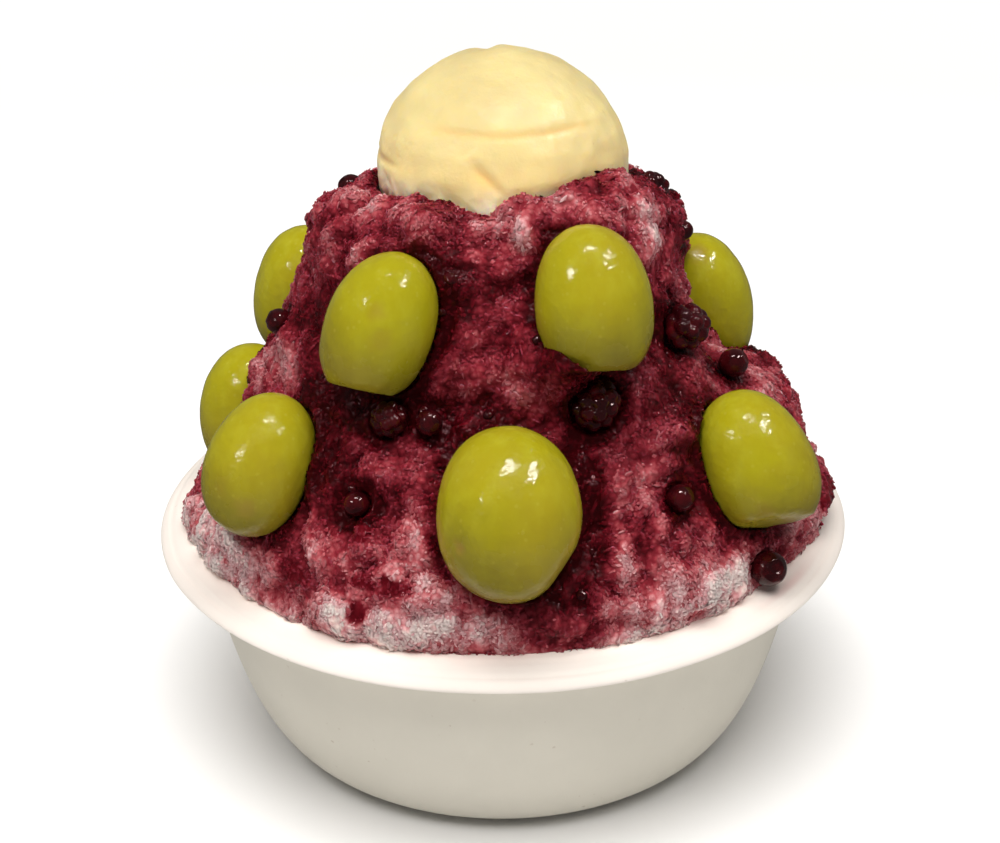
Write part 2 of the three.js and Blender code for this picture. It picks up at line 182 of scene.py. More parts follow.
def with_modifier(mesh, kind, **settings):
    """The mesh that a modifier makes of another, which is then removed."""
    draft = put_in_scene("draft", mesh)
    modifier = draft.modifiers.new("draft", kind)
    for name, value in settings.items():
        setattr(modifier, name, value)
    graph = bpy.context.evaluated_depsgraph_get()
    made = bpy.data.meshes.new_from_object(draft.evaluated_get(graph))
    bpy.data.objects.remove(draft)
    bpy.data.meshes.remove(mesh)
    return made


def even_skin(bm, size, smoothing=0):
    """A closed mesh of even squares over everything in a bmesh, smoothed so many times over."""
    mesh = with_modifier(mesh_from(bm), "REMESH", mode="VOXEL", voxel_size=size)
    bm = bmesh_of(mesh)
    halfway = dict(factor=0.5, use_axis_x=True, use_axis_y=True, use_axis_z=True)
    for _ in range(smoothing):
        bmesh.ops.smooth_vert(bm, verts=bm.verts, **halfway)
    bm.to_mesh(mesh)
    bm.free()
    return mesh


def read(items, field, width):
    """One field of a mesh's items, as rows of that many numbers."""
    found = np.empty(len(items) * width, np.float32)
    items.foreach_get(field, found)
    return found.reshape(-1, width).astype(float)


def points_of(mesh):
    return read(mesh.vertices, "co", 3)


def normals_of(mesh):
    mesh.update()
    return read(mesh.vertex_normals, "vector", 3)


def set_points(mesh, points):
    mesh.vertices.foreach_set("co", points.astype(np.float32).ravel())
    mesh.update()


def set_layers(mesh, **layers):
    """Stores numbers on each vertex, for the material to read."""
    for name, values in layers.items():
        layer = mesh.attributes.new(name, "FLOAT", "POINT")
        layer.data.foreach_set("value", values.astype(np.float32))


def layer_of(mesh, name):
    return read(mesh.attributes[name].data, "value", 1)[:, 0]


def add_piece(name, mesh, material, slot, *nodes):
    """Shows a finished mesh as a piece of the dessert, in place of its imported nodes."""
    mesh.name = name
    mesh.materials.clear()
    mesh.materials.append(material)
    mesh.shade_smooth()
    piece = put_in_scene(name, mesh)
    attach(piece, "root")
    if nodes:
        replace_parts(piece, *nodes)
    return piece


# ---- fields


def bell(distance, width):
    return np.exp(-((distance / width) ** 2))


def ease(low, high, value):
    share = np.clip((value - low) / (high - low), 0, 1)
    return share * share * (3 - 2 * share)


def lumps(points, length, seed):
    """Soft noise from -1 to 1 with lumps of about that many millimetres."""
    places = (points / (length * MM) + np.array([seed * 7.3, seed * 3.1, seed * 5.7])).tolist()
    return np.fromiter((noise.noise(place) for place in places), float, len(places))


def clods(points, length, seed):
    """Noise from 0 up that swells into round clods with sharp creases between them."""
    return 2 * np.abs(lumps(points, length, seed))


def bearing_and_height(points):
    """Degrees round the heap from its front, and millimetres above the rim."""
    return np.degrees(np.arctan2(points[:, 0], -points[:, 1])), (points[:, 2] - RIM) / MM


def patch(bearing, height, spot):
    """How far a place on the heap lies within a spot, 0 to 1: its middle, then its half-widths."""
    across = (bearing - spot[0] + 540) % 360 - 180
    return bell(across, spot[2]) * bell(height - spot[1], spot[3])


def back_patches():
    """Patches of more and less syrup on the back, drawn like those on the front."""
    rng = np.random.default_rng(BACK_SEED)
    made = []
    for index in range(BACK_PATCHES):
        bearing = 84 + 192 * (index + rng.random()) / BACK_PATCHES
        height = rng.uniform(3, 70)
        across, up = rng.uniform(4, 10), rng.uniform(2.5, 7)
        more = rng.uniform(0.22, 0.4) * (1 if rng.random() < 0.55 else -1)
        made.append((bearing, height, across, up, more))
    return made


class Toppings:
    """Says how far a point is from the nearest topping's skin, below zero inside it."""

    def __init__(self):
        pieces = [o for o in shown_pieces() if set(o.get("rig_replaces", [])) & set(TOPPINGS)]
        self.points = np.concatenate([points_of(o.data) for o in pieces])
        self.normals = np.concatenate([normals_of(o.data) for o in pieces])
        self.tree = KDTree(len(self.points))
        for index, point in enumerate(self.points.tolist()):
            self.tree.insert(point, index)
        self.tree.balance()

    def distance(self, points):
        nearest = [self.tree.find(point)[1] for point in points.tolist()]
        out = points - self.points[nearest]
        side = np.einsum("ij,ij->i", out, self.normals[nearest])
        return np.linalg.norm(out, axis=1) * np.where(side < 0, -1, 1)


# ---- materials


# Where a Mix node keeps its factor and two colours, and the colour that it makes.
MIX_INPUTS, MIX_OUTPUT = (0, 6, 7), 2


class Finish:
    """A material under construction, with short calls for its nodes."""

    def __init__(self, name, **sockets):
        self.material = bpy.data.materials.new(name)
        self.material.use_nodes = True
        self.tree = self.material.node_tree
        self.shader = self.tree.nodes["Principled BSDF"]
        self.place = self.tree.nodes.new("ShaderNodeTexCoord").outputs["Object"]
        self.set(**sockets)

    def set(self, **sockets):
        self._fill(self.shader, sockets)

    def _put(self, value, socket):
        """Links a socket to a node's output, or sets it to a colour, place or number."""
        if isinstance(value, bpy.types.NodeSocket):
            self.tree.links.new(value, socket)
        elif socket.type == "RGBA":
            socket.default_value = (*value[:3], 1)
        else:
            socket.default_value = value

    def _fill(self, made, inputs):
        for name, value in inputs.items():
            self._put(value, made.inputs[name.replace("_", " ")])

    def _add(self, kind, settings=None, **inputs):
        made = self.tree.nodes.new("ShaderNode" + kind)
        for name, value in (settings or {}).items():
            setattr(made, name, value)
        self._fill(made, inputs)
        return made

    def layer(self, name):
        return self._add("Attribute", {"attribute_name": name}).outputs["Fac"]

    def noise(self, length, detail=3, rough=0.5, stretch=(1, 1, 1)):
        """Noise from 0 to 1 with lumps of about that length in metres."""
        moved = self._add("Mapping", Vector=self.place, Scale=stretch).outputs["Vector"]
        sizes = dict(Scale=1 / length, Detail=detail, Roughness=rough)
        return self._add("TexNoise", Vector=moved, **sizes).outputs["Fac"]

    def mottle(self, length, detail, *stops, rough=0.5):
        """Noise through a ramp, for uneven places."""
        return self.ramp(self.noise(length, detail, rough), stops)

    def distance(self, scale):
        """How far a place is from the middle, times a scale."""
        made = self._add("VectorMath", {"operation": "LENGTH"}, Vector=self.place)
        return self.math("MULTIPLY", made.outputs["Value"], scale)

    def cells(self, length):
        """How far a place is from the middle of its cell, for cells of about that length."""
        return self._add("TexVoronoi", Vector=self.place, Scale=1 / length).outputs["Distance"]

    def ramp(self, factor, stops):
        """Colours, or greys given as numbers, that follow a factor from stop to stop."""
        made = self._add("ValToRGB", Fac=factor)
        elements = made.color_ramp.elements
        while len(elements) < len(stops):
            elements.new(1)
        for element, (position, colour) in zip(elements, stops):
            element.position = position
            element.color = (*colour, 1) if hasattr(colour, "__len__") else (colour,) * 3 + (1,)
        return made.outputs["Color"]

    def math(self, operation, a, b, clamp=False):
        made = self._add("Math", {"operation": operation, "use_clamp": clamp})
        for value, socket in zip((a, b), made.inputs):
            self._put(value, socket)
        return made.outputs["Value"]

    def mix(self, factor, a, b, blend="MIX"):
        made = self._add("Mix", {"data_type": "RGBA", "blend_type": blend})
        for value, index in zip((factor, a, b), MIX_INPUTS):
            self._put(value, made.inputs[index])
        return made.outputs[MIX_OUTPUT]

    def bump(self, height, depth, strength=1, under=None):
        """The surface's direction when it is raised by so many millimetres."""
        inputs = dict(Height=height, Distance=depth * MM, Strength=strength)
        if under is not None:
            inputs["Normal"] = under
        return self._add("Bump", **inputs).outputs["Normal"]


# ---- settings


def setting(kind, opening="", **limits):
    """A short call for a kind of setting, that takes its name, description and default."""

    def made(name, description, default):
        return kind(name=name, description=opening + description, default=default, **limits)

    return made


length = setting(bpy.props.FloatProperty, min=0, precision=5, subtype="DISTANCE")
angle = setting(bpy.props.FloatProperty, subtype="ANGLE")
amount = setting(bpy.props.FloatProperty, min=0, max=1000)
count = setting(bpy.props.IntProperty, min=0)
tone = dict(size=3, min=0, max=1, subtype="COLOR")
colour = setting(bpy.props.FloatVectorProperty, "Colour of the ", **tone)


class BowlSettings(bpy.types.PropertyGroup):
    sides: count("Sides", "Steps round the bowl", 192)
    wall: length("Wall", "Thickness of the pulp", 1.5 * MM)
    ring: length("Ring", "Height of the pressed rings on the lip", 0.05 * MM)
    # The lip beside the ice is painted lighter: painted light against the heap's shade on it.
    brim: colour("Brim", "pulp on the lip beside the ice", (0.97, 0.885, 0.81))
    lip: colour("Lip", "pulp on the outside of the lip", (0.8, 0.735, 0.68))
    # The side is painted darker than the lip: painted shade, as the wall faces down away from the
    # light.
    side: colour("Side", "pulp on the side", (0.65, 0.615, 0.53))
    fleck: colour("Fleck", "specks in the pulp", (0.5, 0.44, 0.36))


class IceCreamSettings(bpy.types.PropertyGroup):
    grid: length("Grid", "Size of the mesh's squares", 0.5 * MM)
    vanilla: colour("Vanilla", "ball near its foot", (0.85, 0.675, 0.315))
    # The top is painted darker than the foot: painted shade against the light from above.
    crown: colour("Crown", "ball on top", (0.595, 0.485, 0.23))
    # The folds are more orange, and painted darker as painted shade in the creases.
    fold: colour("Fold", "deepest folds", (0.8, 0.54, 0.2))
    # The melting edge is paler cream, painted lighter still as painted light against the shade under
    # the ball.
    melt: colour("Melt", "melting edge", (0.99, 0.88, 0.66))
    blush: colour("Blush", "edge where syrup has crept in", (0.86, 0.62, 0.48))


class GrapeSettings(bpy.types.PropertyGroup):
    wave: length("Wave", "Height of the waves in the skin", 0.045 * MM)
    lump: length("Lump", "Height of the grape's lumps", 0.35 * MM)
    top: colour("Top", "skin at the tip", (0.315, 0.28, 0.0075))
    # The stem end is painted darker than the tip: painted shade on the grape's underside.
    low: colour("Low", "skin at the stem end", (0.118, 0.086, 0.008))
    brown: colour("Brown", "marks", (0.26, 0.155, 0.025))


class BerrySettings(bpy.types.PropertyGroup):
    beads: count("Beads", "Beads on a bramble", 24)
    skin: colour("Skin", "berries", (0.016, 0.0009, 0.0018))
    glow: colour("Glow", "thin places", (0.055, 0.0026, 0.0042))


class IceSettings(bpy.types.PropertyGroup):
    grid: length("Grid", "Size of the mesh's squares", 0.73 * MM)
    clump: length("Clump", "Depth of the clumps", 1.1 * MM)
    clod: length("Clod", "Depth of the creases between clods", 1.1 * MM)
    grain: length("Grain", "Depth of the grains", 0.55 * MM)
    foot: length("Foot", "How far the heap's foot swells over the lip", 0.7 * MM)
    white: colour("White", "ice without syrup", (0.84, 0.655, 0.605))
    pink: colour("Pink", "ice with a little syrup", (0.645, 0.322, 0.33))
    rose: colour("Rose", "ice with some syrup", (0.41, 0.088, 0.1))
    red: colour("Red", "ice with much syrup", (0.215, 0.016, 0.026))
    dark: colour("Dark", "soaked ice", (0.085, 0.003, 0.0065))
    black: colour("Black", "thick syrup", (0.024, 0.0008, 0.0015))
    syrup: colour("Syrup", "smooth pools", (0.095, 0.0028, 0.006))


class ShavingSettings(bpy.types.PropertyGroup):
    shavings: count("Shavings", "Curled shavings on the heap", 8000)
    needles: count("Needles", "Straight needles on the heap", 4000)
    grains: count("Grains", "Grains on the heap", 22000)
    crumbs: count("Crumbs", "The smallest grains on the heap", 18000)
    compote: count("Compote", "Scraps of fruit in the syrup", 50)


class StudioSettings(bpy.types.PropertyGroup):
    floor: colour("Floor", "floor", (0.92, 0.92, 0.925))
    world: amount("World", "Brightness of the light from all round", 0.13)
    softbox: amount("Softbox", "Watts of the soft light overhead", 72)
    lamps: amount("Lamps", "Watts of each metre of ceiling lamp", 13)
    distance: length("Distance", "From the camera to the dessert", 0.42)
    focus: length("Aim", "Height that the camera looks at", 66.55 * MM)
    elevation: angle("Elevation", "Camera above the horizon", math.radians(25.48))
    roll: angle("Roll", "Turn of the camera about its view", math.radians(-0.9))


# ---- bowl


def smooth_line(corners, steps):
    """Points on a smooth line through the corners (a Catmull-Rom spline)."""
    ends = [2 * corners[0] - corners[1], *corners, 2 * corners[-1] - corners[-2]]
    made = []
    for before, start, end, after in zip(ends, ends[1:], ends[2:], ends[3:]):
        for step in range(steps):
            t = step / steps
            square = (2 * before - 5 * start + 4 * end - after) * t**2
            cube = (3 * start - before - 3 * end + after) * t**3
            made.append(0.5 * (2 * start + (end - before) * t + square + cube))
    return [*made, corners[-1]]


FOOT_RADIUS = 37 * MM
WALL_TOP_RADIUS = 62 * MM
SKIRT = 3.7 * MM  # how far the lip's edge hangs below the rim
SIDE_STEPS, LIP_STEPS = 26, 3
SIDE_FOOT_POWER = 3.2  # over 2 bends the side up more sharply at the foot
SIDE_TOP_POWER = 1.08
SIDE_CROWDING = 2.2  # over 1 sets the rows closer together towards the foot
# The lip's section from the side, under its skirt, round its edge and down inside: how far out
# from the outer edge and up from the rim, in millimetres.
LIP = [
    (-8.3, -4.4), (-7.2, -3.5), (-4.5, -3.2), (-1.9, -3.3), (-1, -3.7), (-0.35, -3.72),
    (0, -3.3), (-0.2, -2.7), (-0.85, -2.05), (-1.5, -1.72), (-2.2, -1.5), (-3.4, -0.9),
    (-5.2, -0.45), (-7, -0.12), (-7.8, -0.08), (-8.4, -0.45), (-8.9, -1.5), (-9.6, -3.2),
]
WARP = 0.35 * MM  # how unevenly the pulp has dried
RING_SPACING = 1.6 * MM  # of the rings pressed into the lip


def bowl_side(inset, low, high):
    line = []
    for step in range(SIDE_STEPS + 1):
        share = (step / SIDE_STEPS) ** SIDE_CROWDING
        sweep = (1 - (1 - share) ** SIDE_TOP_POWER) ** (1 / SIDE_FOOT_POWER)
        radius = FOOT_RADIUS + (WALL_TOP_RADIUS - FOOT_RADIUS) * sweep - inset
        line.append(Vector((radius, 0, low + (high - low) * share)))
    return line


def bowl_profile(wall):
    """Points of the bowl's section, from the middle of its foot round its lip and back."""
    skirt = RIM - SKIRT
    lip = [Vector((RIM_RADIUS + out * MM, 0, RIM + up * MM)) for out, up in LIP]
    outside = bowl_side(0, 0, skirt - 1.6 * MM)
    inside = bowl_side(wall, wall, skirt - 0.8 * MM)
    rolled = smooth_line(lip, LIP_STEPS)
    return [Vector((0, 0, 0)), *outside, *rolled, *reversed(inside), Vector((0, 0, wall))]


def pulp_finish(settings):
    finish = Finish("moulded_pulp", Roughness=0.62, Specular_IOR_Level=0.35)
    # The side takes a darker colour than the lip: painted shade.
    pulp = finish.mix(finish.layer("lip"), settings.side, settings.lip)
    # The lip beside the ice is painted lighter: painted light against the heap's shade.
    pulp = finish.mix(finish.layer("brim"), pulp, settings.brim)
    cloud = finish.mottle(0.018, 3, (0.3, 0.94), (0.75, 1))
    base = finish.mix(1, pulp, cloud, "MULTIPLY")
    specks = finish.mottle(0.0016, 1, (0.73, 0), (0.8, 1))
    rare = finish.mottle(0.009, 2, (0.5, 0), (0.62, 1))
    flecked = finish.mix(finish.math("MULTIPLY", specks, rare), base, settings.fleck)
    finish.set(Base_Color=finish.mix(finish.layer("syrup"), flecked, (0.62, 0.2, 0.2)))
    fibres = finish.bump(finish.noise(0.0007, 2, stretch=(1, 1, 0.4)), 0.05, 0.5)
    finish.set(Normal=finish.bump(finish.noise(0.006, 3), 0.25, 0.6, fibres))
    return finish.material


class DESSERT_OT_bowl(bpy.types.Operator):
    """Spins the pulp bowl with its rolled lip"""

    bl_idname = "dessert.bowl"
    bl_label = "Pulp bowl"

    def execute(self, context):
        settings = context.scene.dessert_bowl
        bm = bmesh.new()
        line = [bm.verts.new(point) for point in bowl_profile(settings.wall)]
        edges = [bm.edges.new(pair) for pair in zip(line, line[1:])]
        turn = dict(cent=(0, 0, 0), axis=(0, 0, 1), angle=2 * math.pi, steps=settings.sides)
        bmesh.ops.spin(bm, geom=[*line, *edges], use_merge=True, **turn)
        bmesh.ops.remove_doubles(bm, verts=bm.verts, dist=WELD)
        bmesh.ops.recalc_face_normals(bm, faces=bm.faces)
        mesh = mesh_from(bm)
        points = points_of(mesh)
        bearing, height = bearing_and_height(points)
        radius = np.hypot(points[:, 0], points[:, 1])
        warp = lumps(points, 34, 3) * WARP * ease(-30, -2, height)
        points[:, 2] += warp * 0.6 * ease(-8, -2, height)
        turns = radius / RING_SPACING + 0.4 * lumps(points, 22, 5)
        points[:, 2] += settings.ring * np.sin(2 * math.pi * turns) * ease(-2.6, -1.2, height)
        points[:, :2] *= (1 - np.abs(warp) / np.maximum(radius, MM))[:, None]
        set_points(mesh, points)
        # Syrup has soaked into the wall at the ice's edge, and one drop has run over the lip.
        inner = bell(radius / MM - 62.6, 1) * ease(-2.5, -0.8, height)
        smear = patch(bearing, height, (55, 0, 7, 2.5)) * bell(radius / MM - 66.8, 0.9)
        stain = inner * ease(0.05, 0.6, lumps(points, 7, 8)) * 0.5
        speckle = ease(0.1, 0.5, lumps(points, 1.2, 9))
        syrup = np.clip(stain * (0.4 + 0.6 * speckle) + smear * 0.35, 0, 1)
        # A band on the lip beside the ice, lightened as painted light against the heap's shade.
        brim = (1 - ease(62.8, 67.5, radius / MM)) * ease(-2.6, -1.6, height)
        set_layers(mesh, syrup=syrup, lip=ease(-4.6, -3.2, height), brim=brim)
        add_piece("pulp_bowl", mesh, pulp_finish(settings), "pulp", "bowl")
        return {"FINISHED"}


# ---- ice cream

BALL_SMOOTHING = 6


def vanilla_finish(settings):
    finish = Finish("vanilla_ice_cream", Specular_IOR_Level=0.45, Subsurface_Weight=0.6)
    finish.set(Subsurface_Radius=(1, 0.65, 0.25), Subsurface_Scale=3 * MM)
    cloud = finish.mottle(0.012, 3, (0.35, 0), (0.7, 1))
    # Painted shade: the ball is coloured darker towards its top, against the light from above.
    ball = finish.mix(finish.layer("crown"), settings.vanilla, settings.crown)
    base = finish.mix(finish.math("MULTIPLY", cloud, 0.3), ball, (0.92, 0.8, 0.36))
    folded = finish.mix(finish.layer("fold"), base, settings.fold)
    seeds = finish.mottle(0.0011, 1, (0.76, 0), (0.8, 0.35))
    dotted = finish.mix(seeds, folded, (0.62, 0.42, 0.2))
    melt = finish.layer("melt")
    # The melting foot is paler, partly painted light against the shade under the ball.
    melting = finish.mix(melt, dotted, settings.melt)
    stained = finish.ramp(melt, [(0.72, 0), (0.95, 0.55)])
    finish.set(Base_Color=finish.mix(stained, melting, settings.blush))
    patchy = finish.mottle(0.007, 2, (0.35, 0.36), (0.7, 0.55))
    finish.set(Roughness=finish.mix(melt, patchy, (0.22, 0.22, 0.22)))
    icy = finish.bump(finish.noise(0.0009, 3, 0.6), 0.09, 0.7)
    finish.set(Normal=finish.bump(finish.noise(0.0042, 3), 0.22, 0.6, icy))
    return finish.material


class DESSERT_OT_ice_cream(bpy.types.Operator):
    """Shapes the ball of ice cream with its creases and melting edge"""

    bl_idname = "dessert.ice_cream"
    bl_label = "Ball of ice cream"

    def execute(self, context):
        settings = context.scene.dessert_ice_cream
        bm = merged_copy("ice_cream")
        bmesh.ops.subdivide_edges(bm, edges=bm.edges, cuts=1, smooth=1, use_grid_fill=True)
        mesh = even_skin(bm, settings.grid, BALL_SMOOTHING)
        points, normals = points_of(mesh), normals_of(mesh)
        x, y, z = (points / MM).T
        front = 1 - ease(-6, 2, y)
        # The scoop's edge has left a long crease across the front, with a roll above it.
        smile_z = 133.8 + 0.001 * (x - 2.5) ** 2 - 1 * ease(14, 20, x)
        within = ease(-16, -9, x) * (1 - ease(14, 21, x)) * front
        below = z - smile_z
        crease = bell(below + 0.25, 0.75) * within
        rolled = bell(below - 1.5, 1.9) * within
        # A short slanting cut lies below it, and a notch at the left.
        slash = bell((x + z - 124.4) * 0.7, 1) * bell(x - z + 127.6, 5) * front
        notch = bell(z - 125.6 - 0.1 * (x + 20), 0.8)
        notch *= (1 - ease(-22.5, -17, x)) * (1 - ease(2, 9, y))
        back = bell(z - 130 - 0.14 * x - 0.8 * np.sin(x / 5), 0.9) * ease(6, 14, y)
        back += bell(z - 136 + 0.1 * x, 0.7) * ease(8, 15, y) * 0.6
        low = 1 - ease(119.5, 125, z)
        out = 0.25 * rolled - 0.25 * crease - 0.6 * slash - 0.6 * notch - 0.4 * back
        out += 0.3 * lumps(points, 8, 21) + 0.16 * lumps(points, 3.2, 22)
        crown = ease(136, 141, z) * bell(y - 9.5, 9)
        bumps = 0.25 * bell(x + 5.3, 2.2) - 0.5 * bell(x + 1.6, 1.6) + 0.3 * bell(x - 2.2, 2.6)
        out += crown * bumps
        ragged = lumps(points, 4.2, 23) + 0.6 * lumps(points, 1.7, 24)
        out += low * (0.55 * ragged - 0.35)
        pits = ease(0.42, 0.62, lumps(points, 1.5, 25)) * (0.25 + low)
        set_points(mesh, points + normals * ((out - 0.3 * pits) * MM)[:, None])
        # The folds are coloured more orange, and darker as painted shade in the creases.
        deep = crease + slash * 1.1 + notch + back * 0.6
        deep += 0.8 * bell(x + z - 123, 2.2) * bell(x - z + 128.5, 3.5) * front
        fold = np.clip(deep * 0.55 + 0.16 * bell(z - 126, 3) * (1 - low), 0, 1)
        blotch = 0.5 + 0.9 * lumps(points, 6, 26)
        melt = np.clip((1 - ease(120.5, 127, z + 2.2 * blotch)) * 0.85, 0, 1)
        # crown rises up the ball for the painted shade on its top.
        set_layers(mesh, crown=ease(120, 141, z), fold=fold, melt=melt)
        add_piece("vanilla_ball", mesh, vanilla_finish(settings), "ice_cream", "ice_cream")
        return {"FINISHED"}


# ---- grapes

CUT_ANGLE = math.radians(33)  # a packed grape's edges sharper than this are those of its cut
CUT_CREASE = 0.8
GRAPE_LEVELS = 3


def grape_finish(settings):
    finish = Finish("grape_skin", Specular_IOR_Level=0.27, Subsurface_Weight=0.2)
    finish.set(Subsurface_Radius=(1, 0.8, 0.15), Subsurface_Scale=2.5 * MM)
    along = finish.layer("along")
    cloud = finish.noise(0.009, 3)
    blend = finish.math("ADD", along, finish.math("MULTIPLY", cloud, 0.5))
    # The skin darkens from the tip down to the low end: painted shade.
    skin = finish.ramp(blend, [(0.18, settings.low), (0.85, settings.top)])
    veins = finish.noise(0.0045, 3, 0.55, stretch=(1.5, 1.5, 0.4))
    ripe = finish.mottle(0.026, 1, (0.44, 0), (0.64, 0.45))
    riper = finish.mix(ripe, skin, (0.33, 0.25, 0.014))
    pale = finish.math("MULTIPLY", finish.ramp(veins, [(0.46, 0), (0.75, 0.45)]), along)
    veined = finish.mix(pale, riper, (0.4, 0.38, 0.03))
    dots = finish.ramp(finish.cells(0.0022), [(0.08, 0.18), (0.2, 0)])
    dotted = finish.mix(dots, veined, (0.46, 0.41, 0.07))
    murk = finish.mottle(0.006, 4, (0.54, 0), (0.8, 0.22), rough=0.6)
    murky = finish.mix(murk, dotted, (0.24, 0.16, 0.02))
    finish.set(Base_Color=finish.mix(finish.layer("brown"), murky, settings.brown))
    bloom = finish.mottle(0.005, 3, (0.35, 0.09), (0.75, 0.23))
    matt = finish.ramp(along, [(0.2, 0.15), (0.6, 0)])
    finish.set(Roughness=finish.math("ADD", bloom, matt))
    fine = finish.bump(finish.noise(0.0013, 1), 0.13, 0.7)
    finish.set(Normal=finish.bump(finish.noise(0.0028, 2, 0.45), 0.34, 0.5, fine))
    return finish.material


def grape_mesh(node, settings):
    """A smooth grape with the size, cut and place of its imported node."""
    bm = merged_copy(node)
    packed = np.array([vert.co for vert in bm.verts])
    crease = bm.edges.layers.float.new("crease_edge")
    for edge in bm.edges:
        if edge.calc_face_angle(0) > CUT_ANGLE:
            edge[crease] = CUT_CREASE
    levels = dict(levels=GRAPE_LEVELS, render_levels=GRAPE_LEVELS)
    mesh = with_modifier(mesh_from(bm), "SUBSURF", **levels)
    points = points_of(mesh)
    centred = packed - packed.mean(axis=0)
    axis = np.linalg.eigh(centred.T @ centred)[1][:, -1]
    axis *= np.sign(axis[2])
    across = np.cross(axis, (0, 1, 0))
    across /= np.linalg.norm(across)
    frame_axes = np.array([across, np.cross(axis, across), axis])
    local, target = points @ frame_axes.T, packed @ frame_axes.T
    share = (local - local.min(axis=0)) / np.ptp(local, axis=0)
    points = (target.min(axis=0) + share * np.ptp(target, axis=0)) @ frame_axes
    set_points(mesh, points)
    normals = normals_of(mesh)
    seed = GRAPE_SEED + GRAPES.index(node)
    waves = lumps(points, 3, seed + 20) + 0.5 * lumps(points, 1.6, seed + 40)
    out = settings.lump * lumps(points, 13, seed) + settings.wave * waves
    brown = np.zeros(len(points))
    for place, radius, tint, sunk in GRAPE_MARKS.get(node, []):
        distance = np.linalg.norm(points - np.array(place) * MM, axis=1) / (radius * MM)
        ragged = distance * (1 + 0.5 * lumps(points, 1.4, seed + 60))
        brown = np.maximum(brown, tint * (1 - ease(0.1, 1.35, ragged)))
        out -= sunk * MM * bell(distance, 0.8)
    set_points(mesh, points + normals * out[:, None])
    set_layers(mesh, brown=brown, along=share[:, 2] + SIDE_GRAPES_LIGHTER.get(node, 0))
    return mesh


class DESSERT_OT_grapes(bpy.types.Operator):
    """Makes the whole grapes, each with its own lumps and marks"""

    bl_idname = "dessert.grapes"
    bl_label = "Grapes"

    def execute(self, context):
        settings = context.scene.dessert_grapes
        skin = grape_finish(settings)
        for node in GRAPES:
            add_piece(node + "_skin", grape_mesh(node, settings), skin, "grape", node)
        return {"FINISHED"}


# ---- berries

CORE_SIZE = 0.7  # of a bramble's half-lengths
BEAD_SIZE = 0.35  # a bead's radius, of a bramble's mean half-length
BEAD_RANGE = (0.86, 1.12)
BRAMBLE_GRID = 0.19 * MM


def berry_finish(settings):
    finish = Finish("berry_skin", Specular_IOR_Level=0.38, Specular_Tint=(1, 0.78, 0.78, 1))
    cloud = finish.mottle(0.003, 3, (0.42, 0), (0.72, 1))
    finish.set(Base_Color=finish.mix(cloud, settings.skin, settings.glow))
    finish.set(Roughness=finish.mottle(0.0018, 2, (0.35, 0.07), (0.75, 0.18)))
    finish.set(Normal=finish.bump(finish.noise(0.0016, 2), 0.14, 0.6))
    return finish.material


def ball(bm, matrix, radius=1, subdivisions=3):
    bmesh.ops.create_icosphere(bm, subdivisions=subdivisions, radius=radius, matrix=matrix)


def packed_axes(node):
    """Centre, three axes as rows and half-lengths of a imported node."""
    points = points_of(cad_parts[node].data)
    centre = (points.min(axis=0) + points.max(axis=0)) / 2
    axes = np.linalg.eigh(np.cov((points - centre).T))[1].T
    half = np.array([np.ptp(points @ axis) / 2 for axis in axes])
    return centre, axes, half


def bramble_mesh(node, settings):
    """A berry of round beads, spread evenly over a core by turns of the golden angle."""
    centre, axes, half = packed_axes(node)
    rng = np.random.default_rng(BRAMBLE_SEED + BRAMBLES.index(node))
    bead = half.mean() * BEAD_SIZE
    bm = bmesh.new()
    turned = Matrix.Translation(centre) @ Matrix(axes.T.tolist()).to_4x4()
    ball(bm, turned @ Matrix.Diagonal((*(half * CORE_SIZE), 1)))
    golden = math.pi * (3 - math.sqrt(5))
    for index in range(settings.beads):
        z = 1 - 2 * (index + 0.5) / settings.beads
        ring = math.sqrt(1 - z * z)
        way = np.array([ring * math.cos(index * golden), ring * math.sin(index * golden), z])
        size = bead * rng.uniform(*BEAD_RANGE)
        place = Matrix.Translation(centre + (way * (half - size)) @ axes)
        ball(bm, place, size)
    return even_skin(bm, BRAMBLE_GRID)


def currant_mesh(node):
    """A round berry, a little lumpy, with a small sunken crown."""
    centre, _, half = packed_axes(node)
    seed = CURRANT_SEED + CURRANTS.index(node)
    bm = bmesh.new()
    ball(bm, Matrix.Translation(centre), half.mean(), 5)
    mesh = mesh_from(bm)
    points, normals = points_of(mesh), normals_of(mesh)
    out = 0.06 * lumps(points, 4.5, seed) + 0.025 * lumps(points, 1.6, seed + 10)
    crown = normals @ (np.array([math.sin(seed), math.cos(seed), 0.6]) / math.hypot(1, 0.6))
    out -= 0.1 * ease(0.9, 0.97, crown)
    out += 0.05 * bell(crown - 0.9, 0.03)
    set_points(mesh, points + normals * (out * half.mean())[:, None])
    return mesh


class DESSERT_OT_berries(bpy.types.Operator):
    """Makes the beaded brambles and the smooth round currants"""

    bl_idname = "dessert.berries"
    bl_label = "Dark berries"

    def execute(self, context):
        settings = context.scene.dessert_berries
        skin = berry_finish(settings)
        for node in BRAMBLES:
            add_piece(node + "_beads", bramble_mesh(node, settings), skin, "berry", node)
        for node in CURRANTS:
            add_piece(node + "_skin", currant_mesh(node), skin, "berry", node)
        return {"FINISHED"}


# ---- ice

HEAP_DEPTH = 7  # the heap is cut flat so many millimetres below the rim
HEAP_SMOOTHING = 5


